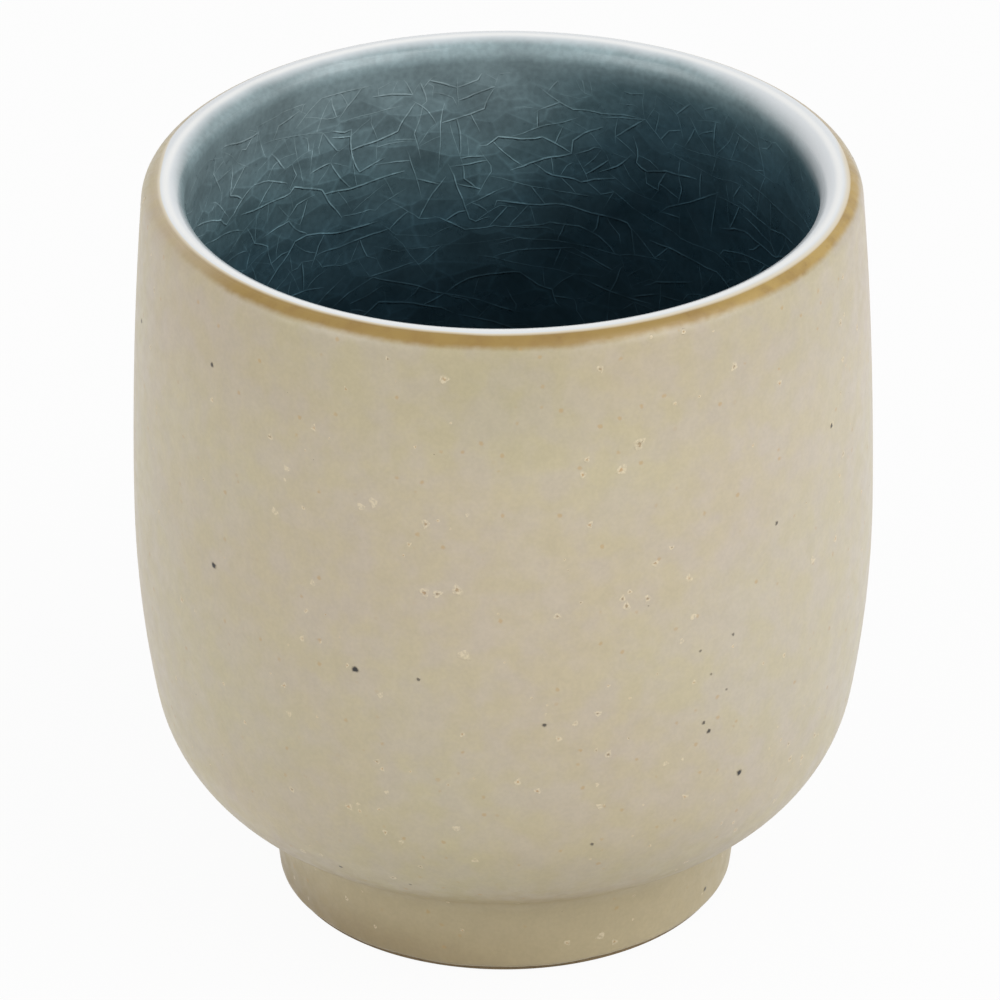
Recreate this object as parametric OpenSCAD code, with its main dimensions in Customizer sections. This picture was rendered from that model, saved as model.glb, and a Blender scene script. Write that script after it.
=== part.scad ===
// Handleless stoneware espresso cup: a thrown bowl on a luted foot ring, dipped in a cream glaze
// outside and lined with a crackle glaze inside. Millimetres, Z up, origin on the table under the axis.
// Every piece is turned about Z from an outline in the (radius, height) half plane.

/* [Overall] */
// Height from the table to the top of the lip
cup_h = 65; // [54:0.5:80]
// Widest outside diameter of the bowl
widest_d = 62; // [51:0.5:75]

/* [Bowl outline] */
// Radius of the long arc from the widest point up to the lip
wall_arc = 340; // [270:5:420]
// Radius of the arc just below the widest point
flank_arc = 95; // [75:1:115]
// Angle that the arc below the widest point turns through
flank_sweep = 10; // [8:0.5:12]
// Radius of the arc that rounds the belly in to the foot
belly_arc = 14; // [11:0.5:17]
// Thickness of the finished wall, glazes included
wall_t = 3.6; // [3:0.1:4.4]

/* [Foot] */
// Height of the bowl's underside above the table
foot_h = 7; // [5.5:0.1:8.5]
// Glazed diameter of the foot, carried down to the table
foot_d = 38.5; // [32:0.1:47]
// Angle that the foot's outer wall leans out as it rises
foot_lean = 6.9; // [0:0.1:12]
// Thickness of the foot's wall at the table, glazes included
foot_wall_t = 4; // [3.2:0.1:5.4]
// Height of the bare clay above the table, wiped clean of glaze
foot_bare = 0.45; // [0.4:0.05:1.2]
// Radius of the sponged edges that the cup stands between
foot_edge = 0.25; // [0.15:0.05:0.35]
// Radius of the glaze that fills the corners between bowl and foot
foot_cove = 0.9; // [0.6:0.1:1.2]
// Thickness of the slip that lutes the foot to the bowl
slip_t = 0.3; // [0.2:0.05:0.5]

/* [Glazes] */
// Thickness of the cream glaze outside and under the foot
coat_t = 0.4; // [0.3:0.05:0.5]
// Thickness of the crackle glaze on the inside wall
lining_t = 0.4; // [0.3:0.05:0.5]
// Thickness of the glaze on top of the lip
lip_t = 0.4; // [0.3:0.05:0.5]
// Extra depth of the crackle glaze where it has pooled on the floor
pool_t = 0.6; // [0.4:0.05:0.8]
// How far the pale lip glaze runs down inside, below the lip's own round
lip_run = 1.2; // [0.6:0.1:2]
// Lower edge of the toasted band on the outside of the lip, in degrees above level
band_low = 30; // [22:1:36]
// Upper edge of the toasted band, in degrees above level
band_high = 68; // [60:1:76]

/* [Hidden] */

// Straight steps that stand for each round stretch of an outline
belly_steps = 26;
flank_steps = 8;
wall_steps = 10;
lip_steps = 8;
edge_steps = 5;
seat_steps = 8;
turn_steps = 180;

clay_colour = [0.70, 0.58, 0.42];
cream_colour = [0.76, 0.71, 0.61];
toast_colour = [0.63, 0.50, 0.28];
pale_colour = [0.88, 0.90, 0.91];
blue_colour = [0.16, 0.25, 0.29];

// Centres of the three arcs, which meet smoothly; a depth is measured in from the glazed outside
belly_c = [widest_d / 2 - flank_arc + (flank_arc - belly_arc) * cos(flank_sweep), foot_h + belly_arc];
wide_z = belly_c.y + (flank_arc - belly_arc) * sin(flank_sweep);
flank_c = [widest_d / 2 - flank_arc, wide_z];
wall_c = [widest_d / 2 - wall_arc, wide_z];

// Depths of the clay's two faces, and of the seat that the foot ring offers to the slip
clay_out = coat_t;
clay_in = wall_t - lining_t;
seat_depth = clay_out - slip_t;

// Directions up the foot's outer wall and straight out of it
foot_up = [sin(foot_lean), cos(foot_lean)];
foot_outward = [cos(foot_lean), -sin(foot_lean)];

// Radius of the foot's hollow, to its glaze and to its clay
hollow_glazed_r = foot_d / 2 - foot_wall_t;
hollow_clay_r = hollow_glazed_r + coat_t;

// Level of the pooled glaze on the floor
pool_z = foot_h + wall_t + pool_t;

function reverse(points) = [for (i = [len(points) - 1:-1:0]) points[i]];

function arc(c, r, from, to, n) =
    [for (i = [0:n]) let (a = from + (to - from) * i / n) c + r * [cos(a), sin(a)]];

// Where a line from p along the unit direction u first meets a circle
function line_meets_circle(p, u, c, r) =
    let (w = p - c, b = u * w) p + u * (-b - sqrt(b * b - w * w + r * r));

// Point at height z on the foot's outer wall, at a depth in from its glaze
function foot_side(depth, z) =
    let (p = [foot_d / 2, 0] - depth * foot_outward) p + foot_up * (z - p.y) / foot_up.y;

// Where the foot's outer wall meets the bowl's underside: on its flat, or on the belly's arc
function foot_meets_bowl(bowl_depth) =
    let (flat = foot_side(clay_out, foot_h + bowl_depth))
    flat.x <= belly_c.x ? flat
    : line_meets_circle(foot_side(clay_out, 0), foot_up, belly_c, belly_arc - bowl_depth);

// Height of the bowl's underside at a radius
function under_z(r, depth) =
    r <= belly_c.x ? foot_h + depth
    : belly_c.y - sqrt(pow(belly_arc - depth, 2) - pow(r - belly_c.x, 2));

// The bowl's underside inside the hollow, from the axis out to a radius
function roof_line(depth, r) =
    concat([[0, foot_h + depth]],
           r <= belly_c.x ? [[r, foot_h + depth]]
           : arc(belly_c, belly_arc - depth, -90, belly_angle([r, under_z(r, depth)]), seat_steps));

// The bowl's underside over the foot ring, from the hollow outwards
function under_line(depth) =
    let (outer_r = foot_meets_bowl(depth).x)
    [for (i = [0:seat_steps])
        let (r = hollow_clay_r + (outer_r - hollow_clay_r) * i / seat_steps) [r, under_z(r, depth)]];

// Angle on the belly's arc of a point on the bowl's underside
function belly_angle(p) = p.x <= belly_c.x ? -90 : atan2(p.y - belly_c.y, p.x - belly_c.x);

// The bowl's side from a point on its underside up to the widest point
function side_line(depth, from) =
    concat([from],
           arc(belly_c, belly_arc - depth, belly_angle(from), -flank_sweep, belly_steps),
           arc(flank_c, flank_arc - depth, -flank_sweep, 0, flank_steps));

function wall_angle(depth, z) = asin((z - wide_z) / (wall_arc - depth));

function wall_line(depth, from, to) = arc(wall_c, wall_arc - depth, from, to, wall_steps);

// A lip is the half round that closes a wall between two depths: [centre, radius, lean of the wall]
function lip(outer_depth, inner_depth, top) =
    let (r = (inner_depth - outer_depth) / 2,
         mid_arc = wall_arc - (outer_depth + inner_depth) / 2,
         lean = asin((top - r - wide_z) / mid_arc))
    [wall_c + mid_arc * [cos(lean), sin(lean)], r, lean];

function lip_arc(a_lip, from, to) = arc(a_lip[0], a_lip[1], from, to, lip_steps);

glazed_lip = lip(0, wall_t, cup_h);
clay_lip = lip(clay_out, clay_in, cup_h - lip_t);
lip_edge_z = glazed_lip[0].y - lip_run;

// The inside from a point on the floor up to the lower edge of the pale lip glaze
function lining_line(depth, from) =
    concat(side_line(depth, from), wall_line(depth, 0, wall_angle(depth, lip_edge_z)));

// The inside wall and lip that carry the pale glaze, from its lower edge over to the toasted band
function lip_line(a_lip, depth) =
    concat(wall_line(depth, wall_angle(depth, lip_edge_z), a_lip[2]),
           lip_arc(a_lip, a_lip[2] + 180, 90),
           lip_arc(a_lip, 90, band_high));

function band_line(a_lip) = lip_arc(a_lip, band_high, band_low);

// The outside from a point on the underside up to the toasted band
function outer_line(a_lip, depth, from) =
    concat(side_line(depth, from), wall_line(depth, 0, a_lip[2]), lip_arc(a_lip, a_lip[2], band_low));

// Centre of the round of glaze that touches the foot's outer wall and the bowl's underside
function cove_centre() =
    let (flat = foot_side(-foot_cove, foot_h - foot_cove))
    flat.x <= belly_c.x ? flat
    : line_meets_circle(foot_side(-foot_cove, 0), foot_up, belly_c, belly_arc + foot_cove);

module turned(outline) rotate_extrude($fn = turn_steps) polygon(outline);

module bowl() {
    color(clay_colour)
    turned(concat(
        roof_line(clay_out, hollow_clay_r),
        under_line(clay_out),
        outer_line(clay_lip, clay_out, foot_meets_bowl(clay_out)),
        reverse(band_line(clay_lip)),
        reverse(lip_line(clay_lip, clay_in)),
        reverse(lining_line(clay_in, [0, foot_h + clay_in]))));
}

module slip_joint() {
    color(clay_colour) turned(concat(under_line(seat_depth), reverse(under_line(clay_out))));
}

module foot_ring() {
    // The edge rounds touch the table, the hollow and the foot's leaning wall
    inner_edge = [hollow_clay_r + foot_edge, foot_edge];
    outer_edge = foot_side(clay_out + foot_edge, foot_edge);
    color(clay_colour)
    turned(concat(
        arc(inner_edge, foot_edge, 180, 270, edge_steps),
        arc(outer_edge, foot_edge, -90, -foot_lean, edge_steps),
        reverse(under_line(seat_depth))));
}

module outer_glaze() {
    cove = cove_centre();
    touch = belly_angle(cove);
    cove_top = cove.x <= belly_c.x ? [cove.x, foot_h] : belly_c + belly_arc * [cos(touch), sin(touch)];
    color(cream_colour)
    turned(concat(
        [foot_side(0, foot_bare)],
        arc(cove, foot_cove, 180 - foot_lean, touch + 180, edge_steps),
        outer_line(glazed_lip, 0, cove_top),
        reverse(outer_line(clay_lip, clay_out, foot_meets_bowl(clay_out))),
        [foot_side(clay_out, foot_bare)]));
}

module rim_band() {
    color(toast_colour) turned(concat(band_line(glazed_lip), reverse(band_line(clay_lip))));
}

module lip_glaze() {
    color(pale_colour) turned(concat(lip_line(glazed_lip, wall_t), reverse(lip_line(clay_lip, clay_in))));
}

module crackle_lining() {
    // Where the pool's level meets the inside of the belly
    pool_r = belly_c.x + sqrt(pow(belly_arc - wall_t, 2) - pow(belly_c.y - pool_z, 2));
    color(blue_colour)
    turned(concat(
        lining_line(clay_in, [0, foot_h + clay_in]),
        reverse(lining_line(wall_t, [pool_r, pool_z])),
        [[0, pool_z]]));
}

module base_glaze() {
    // The round of glaze in the hollow's corner touches its wall and its roof
    cove_r = hollow_glazed_r - foot_cove;
    cove = [cove_r, under_z(cove_r, -foot_cove)];
    touch = 180 + belly_angle(cove);
    color(cream_colour)
    turned(concat(
        roof_line(clay_out, hollow_clay_r),
        [[hollow_clay_r, foot_bare], [hollow_glazed_r, foot_bare]],
        arc(cove, foot_cove, 0, touch, edge_steps),
        reverse(roof_line(0, cove.x + foot_cove * cos(touch)))));
}

bowl();
foot_ring();
slip_joint();
outer_glaze();
rim_band();
lip_glaze();
crackle_lining();
base_glaze();
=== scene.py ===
"""Glazes, marks and stage of a handleless stoneware espresso cup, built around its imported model.

The file is laid out as an add-on and run as a script. Sizes are metres, Z is up, and the origin is on the
table under the cup's axis. An outline lies in the (radius, height) half plane and is turned about Z. Along
the glaze, a run is the distance in millimetres from the crest of the lip, positive outside, negative inside.
"""

import math
import random

import bmesh
import bpy
import numpy as np
from mathutils import Matrix, Vector


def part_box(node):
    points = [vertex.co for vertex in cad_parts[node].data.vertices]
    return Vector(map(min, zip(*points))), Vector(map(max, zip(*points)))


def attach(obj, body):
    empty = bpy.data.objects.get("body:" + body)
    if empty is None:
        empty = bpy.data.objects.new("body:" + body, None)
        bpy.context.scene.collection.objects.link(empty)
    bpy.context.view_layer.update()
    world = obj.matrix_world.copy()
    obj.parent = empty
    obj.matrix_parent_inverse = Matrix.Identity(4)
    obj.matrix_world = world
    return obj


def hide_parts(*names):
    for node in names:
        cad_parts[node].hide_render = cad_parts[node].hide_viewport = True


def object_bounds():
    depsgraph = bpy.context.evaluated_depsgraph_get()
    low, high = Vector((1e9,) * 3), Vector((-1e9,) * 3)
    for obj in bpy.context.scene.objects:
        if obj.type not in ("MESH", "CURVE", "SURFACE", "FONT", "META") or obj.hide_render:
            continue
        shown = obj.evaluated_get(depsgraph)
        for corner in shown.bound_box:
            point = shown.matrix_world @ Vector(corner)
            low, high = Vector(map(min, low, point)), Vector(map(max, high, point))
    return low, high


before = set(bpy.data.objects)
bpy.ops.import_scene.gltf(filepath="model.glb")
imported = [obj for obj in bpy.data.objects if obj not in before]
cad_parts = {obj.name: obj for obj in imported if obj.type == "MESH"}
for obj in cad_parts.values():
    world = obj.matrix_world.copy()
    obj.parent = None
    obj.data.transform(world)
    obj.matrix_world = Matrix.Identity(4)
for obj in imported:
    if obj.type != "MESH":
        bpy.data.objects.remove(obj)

bl_info = {
    "name": "Stoneware Espresso Cup",
    "version": (1, 0, 0),
    "blender": (4, 5, 0),
    "location": "3D View > Sidebar > Cup",
    "description": "Glazes, marks and stage of a handleless stoneware espresso cup",
    "category": "Add Mesh",
}

CAD_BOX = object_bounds()
BODY = "root"
FULL_TURN = 2 * math.pi
QUARTER_TURN = math.pi / 2
MM = 0.001

# A run that lies far from the lip, for glaze that takes no part in its colours
FAR_RUN = 100.0

# Depth below the crest, in millimetres, at which the lining has reached the cup's floor
FLOOR_DEPTH = 60.0

# Points closer together than this count as one, in metres; edges sharper than this stay sharp
SAME_POINT = 1e-7
SHARP_EDGE = math.radians(38)

# Marks are strewn above the rounded bead of glaze at the foot, in metres
BEAD_TOP = 0.0014

# Cells in each metre of the cream, where some hold a freckle, and of the lining, where each is a plate
FRECKLE_CELLS = 620.0
PLATE_CELLS = 480.0

# Sides of a mark, and its rings as shares of its radius: how far out and how high
MARK_SIDES = 9
PIT_RINGS = [(0.0, 0.0), (0.3, 0.012), (0.6, 0.02), (0.8, 0.012), (1.0, -0.05)]
SPECK_RINGS = [(0.0, 0.10), (0.4, 0.08), (0.65, 0.05), (1.0, -0.06)]

# Where the soft lamps hang and how wide they are, and half the floor's width, in metres
KEY_PLACE = (0.64, -0.37, 0.68)
KEY_SIZE = 0.7
FILL_PLACE = (-0.60, -0.40, 0.45)
FILL_SIZE = 0.5
FLOOR_REACH = 3.0

WHITE = (1.0, 1.0, 1.0)
FLOOR_GREY = (0.62, 0.62, 0.62)


def srgb(red, green, blue):
    """Linear values of a colour given as 8-bit sRGB."""
    shares = [channel / 255 for channel in (red, green, blue)]
    return tuple(s / 12.92 if s <= 0.04045 else ((s + 0.055) / 1.055) ** 2.4 for s in shares)


def length(name, description, default):
    """A property that holds a length in metres."""
    return bpy.props.FloatProperty(name=name, description=description, default=default, min=0.0,
                                   unit='LENGTH', precision=5)


def angle(name, description, degrees):
    """A property that holds an angle, with its default given in degrees."""
    return bpy.props.FloatProperty(name=name, description=description, default=math.radians(degrees),
                                   subtype='ANGLE')


def colour(name, description, default):
    """A property that holds a colour, with its default given as 8-bit sRGB."""
    return bpy.props.FloatVectorProperty(name=name, description=description, default=srgb(*default),
                                         size=3, min=0.0, max=1.0, subtype='COLOR')


def number(name, description, default):
    """A property that holds a plain number."""
    return bpy.props.FloatProperty(name=name, description=description, default=default)


def count(name, description, default):
    """A property that holds a whole number."""
    return bpy.props.IntProperty(name=name, description=description, default=default, min=0)


class CupShape(bpy.types.PropertyGroup):
    """Sizes of the cup's outline"""

    cup_h: length("Height", "From the table to the top of the lip", CAD_BOX[1].z)
    widest_d: length("Widest diameter", "Outside the bowl", CAD_BOX[1].x - CAD_BOX[0].x)
    wall_arc: length("Wall arc", "Radius of the long arc up to the lip", 0.340)
    flank_arc: length("Flank arc", "Radius of the arc just below the widest point", 0.095)
    flank_sweep: angle("Flank sweep", "Angle that the flank's arc turns through", 10)
    belly_arc: length("Belly arc", "Radius that rounds the belly in to the foot", 0.014)
    wall_t: length("Wall", "Thickness of the finished wall", 0.0036)
    coat_t: length("Glaze", "Thickness of every glaze coat", 0.0004)
    foot_h: length("Foot height", "Underside of the bowl above the table", 0.007)
    foot_d: length("Foot diameter", "Glazed foot, carried down to the table", 0.0385)
    foot_lean: angle("Foot lean", "Angle that the foot leans out as it rises", 6.9)
    foot_wall_t: length("Foot wall", "Thickness of the foot at the table", 0.0040)
    foot_bare: length("Bare foot", "Clay wiped clean above the table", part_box("outer_glaze")[0].z)
    foot_edge: length("Foot edge", "Radius of the sponged edges", 0.00025)
    foot_cove: length("Foot cove", "Radius of the glaze in the corner above the foot", 0.0028)
    hollow_cove: length("Hollow cove", "Radius of the glaze in the corner of the foot's hollow", 0.0009)
    lip_edge_z: length("Lip glaze edge", "Height where the pale glaze ends inside",
                       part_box("crackle_lining")[1].z)
    band_low: angle("Band low", "Lower edge of the toasted band, above level", 30)
    band_high: angle("Band high", "Upper edge of the toasted band, above level", 68)
    pool_t: length("Pool", "Extra glaze where the lining pooled on the floor", 0.0006)
    segments: count("Segments", "Steps round the cup", 256)
    wander: length("Wander", "How far the hand-made surface strays from round", 0.00007)
    wander_size: length("Wander size", "Distance over which it strays", 0.028)
    wipe_sway: length("Wipe sway", "How far the wiped glaze edge sways at the foot", 0.00018)


class CupGlaze(bpy.types.PropertyGroup):
    """Colours of the clay and the glazes"""

    cream: colour("Cream", "Satin glaze outside", (194, 183, 155))
    rose: colour("Rose cream", "Warmer clouds in the cream", (194, 181, 156))
    shade: colour("Foot cream", "Cream on the foot", (186, 172, 138))
    # Foot cream darkened as painted shade, for the foot's lower left
    painted_shade_foot_cream: colour("Low foot cream", "Cream on the lower left of the foot", (158, 141, 107))
    straw: colour("Straw", "Small freckles in the cream", (186, 150, 96))
    rust: colour("Rust", "Middles of the pinholes", (180, 132, 72))
    ochre: colour("Ochre", "Toasted band on the lip", (149, 122, 63))
    gold: colour("Gold", "Toasted band at the right, where it is lighter", (170, 142, 78))
    umber: colour("Umber", "Darker patches in the toasted band", (134, 104, 52))
    milk: colour("Milk", "Warm white between the lip and the toasted band", (208, 197, 174))
    pale: colour("Pale", "Glossy glaze on the lip", (212, 216, 219))
    # The crest's whiter line is a painted highlight along the top of the lip
    crest: colour("Crest", "Whitest line along the top of the lip", (228, 229, 228))
    mist: colour("Mist", "Lining just below the lip", (137, 156, 160))
    slate: colour("Slate", "Lining on the upper wall", (113, 136, 142))
    steel: colour("Steel", "Lining a fifth of the way down", (87, 112, 119))
    petrol: colour("Petrol", "Lining a third of the way down", (59, 84, 94))
    ink: colour("Ink", "Lining on the lower wall and floor", (31, 52, 62))
    clay: colour("Clay", "Bare stoneware", (138, 119, 88))
    grog: colour("Grog", "Dark grains in the clay", (84, 64, 44))
    iron: colour("Iron", "Iron specks in the cream", (40, 38, 36))


class CupMarks(bpy.types.PropertyGroup):
    """Specks, pits and cracks in the glaze"""

    pit_density: number("Pit density", "Pits on each square metre of cream glaze", 42000.0)
    pit_small: length("Smallest pit", "Radius of the smallest pit", 0.00015)
    pit_large: length("Largest pit", "Radius of the largest pit", 0.00050)
    fleck_density: number("Fleck density", "Iron flecks on each square metre of cream glaze", 3000.0)
    fleck_small: length("Smallest fleck", "Radius of the smallest fleck", 0.00006)
    fleck_large: length("Largest fleck", "Radius of the largest fleck", 0.00014)
    crack_top: length("Crack top", "Depth below the crest at which the cracks begin", 0.0034)
    crack_gap: length("Crack gap", "Distance between tries at cracks that run round the inside", 0.0012)
    crack_run: length("Crack run", "Distance between the starts of such cracks", 0.006)
    cross_cracks: count("Cross cracks", "Cracks tried between the long ones", 8000)
    crack_w: length("Crack width", "Width of a healed crack's ridge", 0.00037)
    crack_h: length("Crack height", "Height of a healed crack's ridge", 0.000013)
    crack_sunk: length("Crack depth", "How deep the ridge's middle lies in the lining", 0.000005)
    seed: count("Seed", "Seed for the marks and cracks", 7)


class CupStage(bpy.types.PropertyGroup):
    """Camera and light"""

    elevation: angle("Elevation", "Camera's angle above the table", 28.16)
    distance: length("Distance", "From the camera to the cup", 0.720)
    aim_z: length("Aim", "Height that the camera looks at", 0.03477)
    lens: number("Lens", "Focal length in millimetres, on a 36 mm sensor", 308.2)
    roll: angle("Roll", "How far the camera is turned about its own axis", -0.257)
    shift: number("Shift", "Sideways shift of the picture", -0.00364)
    sky: number("Sky", "Strength of the light from all round", 0.59)
    key_power: number("Key light", "Watts of the soft light at the right", 5.7)
    fill_power: number("Fill light", "Watts of the soft light at the left", 1.8)
    floor_white: number("Floor white", "Share of the floor that shows as plain white", 0.95)


class Wire:
    """An output socket of a node tree. Arithmetic on it adds Math nodes to that tree."""

    def __init__(self, board, socket):
        self.board = board
        self.socket = socket

    def other(self, name):
        """Another output of the same node."""
        return Wire(self.board, self.socket.node.outputs[name])

    def math(self, operation, *values):
        return self.board.add('ShaderNodeMath', (self, *values), operation=operation)

    def __add__(self, value):
        return self.math('ADD', value)

    def __sub__(self, value):
        return self.math('SUBTRACT', value)

    def __mul__(self, value):
        return self.math('MULTIPLY', value)

    def __truediv__(self, value):
        return self.math('DIVIDE', value)

    def __rtruediv__(self, value):
        return self.board.add('ShaderNodeMath', (value, self), operation='DIVIDE')

    def __neg__(self):
        return self * -1.0

    __radd__ = __add__
    __rmul__ = __mul__


class Board:
    """A node tree while it is wired up."""

    def __init__(self, tree):
        self.tree = tree

    def add(self, kind, sockets=(), out=0, stops=(), **settings):
        """A node of that kind with its settings, then its sockets set or linked; gives one output."""
        node = self.tree.nodes.new(kind)
        for name, value in settings.items():
            setattr(node, name, value)
        for index, (place, shade) in enumerate(stops):
            ramp = node.color_ramp.elements
            stop = ramp[index] if index < len(ramp) else ramp.new(place)
            stop.position = place
            stop.color = (*shade, 1.0)
        pairs = sockets.items() if isinstance(sockets, dict) else enumerate(sockets)
        for name, value in pairs:
            self.feed(node.inputs[name], value)
        return Wire(self, node.outputs[out]) if len(node.outputs) else node

    def feed(self, socket, value):
        """Links a wire to a socket, or sets the socket to a plain value."""
        if isinstance(value, Wire):
            self.tree.links.new(value.socket, socket)
        elif socket.type == 'RGBA' and len(value) == 3:
            socket.default_value = (*value, 1.0)
        else:
            socket.default_value = value

    def mix(self, factor, first, second, blend='MIX'):
        """Blend of two colours."""
        # The node's colour sockets share their names with others, so they go by number
        return self.add('ShaderNodeMix', {0: factor, 6: first, 7: second}, out=2, data_type='RGBA',
                        blend_type=blend)

    def tint(self, first, second, factor=1.0):
        """One colour multiplied by another."""
        return self.mix(factor, first, second, 'MULTIPLY')

    def grey(self, value):
        """A value as a grey colour."""
        return self.add('ShaderNodeCombineColor', (value, value, value))

    def ramp(self, value, start, end, low=0.0, high=1.0):
        """Smooth step from low at start to high at end."""
        return self.add('ShaderNodeMapRange', {'Value': value, 'From Min': start, 'From Max': end,
                                               'To Min': low, 'To Max': high},
                        interpolation_type='SMOOTHSTEP')

    def noise(self, place, size, detail=2.0, distortion=0.0):
        """Cloudy value from 0 to 1 whose clouds are about size metres across."""
        return self.add('ShaderNodeTexNoise', {'Vector': place, 'Scale': 1.0 / size, 'Detail': detail,
                                               'Distortion': distortion})

    def part(self, place, axis):
        """One of the three parts of a place or direction."""
        return self.add('ShaderNodeSeparateXYZ', (place,), out=axis)

    def join(self, x, y, z):
        """A place or direction from its three parts."""
        return self.add('ShaderNodeCombineXYZ', (x, y, z))

    def seen(self):
        """1 for what the camera sees, straight or by way of a reflection or glass, and otherwise 0."""
        path = self.add('ShaderNodeLightPath', out='Is Camera Ray')
        return (path + path.other('Is Glossy Ray') + path.other('Is Transmission Ray')).math('MINIMUM', 1.0)

    def squeeze(self, place, x, y, z):
        """A place with its three parts scaled."""
        return self.add('ShaderNodeVectorMath', (place, (x, y, z)), operation='MULTIPLY')

    def place(self):
        """Object coordinates in a material."""
        return self.add('ShaderNodeTexCoord', out='Object')

    def attribute(self, name):
        """A value stored on the mesh, in a material."""
        return self.add('ShaderNodeAttribute', out='Fac', attribute_name=name)


class Shader(Board):
    """The node tree of a new material that ends in one glaze or clay surface."""

    def __init__(self, name):
        self.material = bpy.data.materials.new(name)
        self.material.use_nodes = True
        super().__init__(self.material.node_tree)
        self.tree.nodes.clear()

    def finish(self, base, roughness, height=None, bump=0.0, reach=0.0001, **others):
        """Ends the material in a surface of that colour, with a bump where a height is given."""
        sockets = {'Base Color': base, 'Roughness': roughness}
        if height is not None:
            sockets['Normal'] = self.add('ShaderNodeBump', {'Strength': bump, 'Distance': reach,
                                                            'Height': height})
        for name, value in others.items():
            sockets[name.replace('_', ' ').title()] = value
        surface = self.add('ShaderNodeBsdfPrincipled', sockets)
        self.add('ShaderNodeOutputMaterial', {'Surface': surface})
        return self.material


class Tree(Board):
    """A new Geometry Nodes tree with named inputs."""

    def __init__(self, name, **inputs):
        super().__init__(bpy.data.node_groups.new(name, 'GeometryNodeTree'))
        self.keys = {}
        for label, kind in {'Geometry': 'Geometry', **inputs}.items():
            item = self.tree.interface.new_socket(name=label.replace('_', ' '), in_out='INPUT',
                                                  socket_type='NodeSocket' + kind)
            self.keys[label] = item.identifier
        self.tree.interface.new_socket(name='Geometry', in_out='OUTPUT', socket_type='NodeSocketGeometry')
        self.start = self.tree.nodes.new('NodeGroupInput')

    def given(self, label):
        """The wire of a named input."""
        return Wire(self, self.start.outputs[label.replace('_', ' ')])

    def stored(self, name, data_type='FLOAT'):
        """A value stored on the geometry."""
        return self.add('GeometryNodeInputNamedAttribute', {'Name': name}, data_type=data_type)

    def store(self, geometry, name, value):
        """The geometry with a value stored at its points."""
        return self.add('GeometryNodeStoreNamedAttribute',
                        {'Geometry': geometry, 'Name': name, 'Value': value},
                        data_type='FLOAT', domain='POINT')

    def chance(self, low, high, seed):
        """A random number for every point."""
        # These sockets too share their names with others
        return self.add('FunctionNodeRandomValue', {2: low, 3: high, 8: seed}, out=1, data_type='FLOAT')

    def finish(self, geometry):
        """Ends the tree in Realize Instances and Set Material."""
        real = self.add('GeometryNodeRealizeInstances', {'Geometry': geometry})
        painted = self.add('GeometryNodeSetMaterial', {'Geometry': real, 'Material': self.given('Material')})
        self.tree.links.new(painted.socket, self.tree.nodes.new('NodeGroupOutput').inputs[0])
        return self


def put_in_scene(name, data):
    """A new object that holds the data."""
    holder = bpy.data.objects.new(name, data)
    bpy.context.scene.collection.objects.link(holder)
    return holder


def marked_mesh(name, points, edges=(), faces=(), **marks):
    """A mesh whose points carry named values or vectors."""
    mesh = bpy.data.meshes.new(name)
    mesh.from_pydata(points, edges, faces)
    for label, values in marks.items():
        if isinstance(values[0], float):
            mesh.attributes.new(label, 'FLOAT', 'POINT').data.foreach_set("value", values)
        else:
            layer = mesh.attributes.new(label, 'FLOAT_VECTOR', 'POINT')
            layer.data.foreach_set("vector", [part for vector in values for part in vector])
    return mesh


def plain_mesh(name, source, tree, **values):
    """Runs a tree on a source mesh and keeps the result as an object with a plain mesh."""
    maker = put_in_scene(name + "_source", source)
    modifier = maker.modifiers.new(tree.tree.name, 'NODES')
    modifier.node_group = tree.tree
    for label, value in values.items():
        modifier[tree.keys[label]] = value
    bpy.context.view_layer.update()
    depsgraph = bpy.context.evaluated_depsgraph_get()
    mesh = bpy.data.meshes.new_from_object(maker.evaluated_get(depsgraph), depsgraph=depsgraph)
    maker.modifiers.remove(modifier)
    bpy.data.objects.remove(maker)
    bpy.data.meshes.remove(source)
    if not mesh.polygons:
        raise RuntimeError(f"{name}: its tree made no faces")
    mesh.name = name
    return put_in_scene(name, mesh)


def turn_outwards(mesh):
    """Points the faces of a closed mesh outwards."""
    work = bmesh.new()
    work.from_mesh(mesh)
    bmesh.ops.recalc_face_normals(work, faces=work.faces)
    work.to_mesh(mesh)
    work.free()


def settle(piece, slot, *nodes):
    """Ties a finished piece to the cup's body and hides the nodes that it stands for; the slot is not used.
    """
    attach(piece, BODY)
    if nodes:
        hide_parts(*nodes)
    return piece


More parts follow.
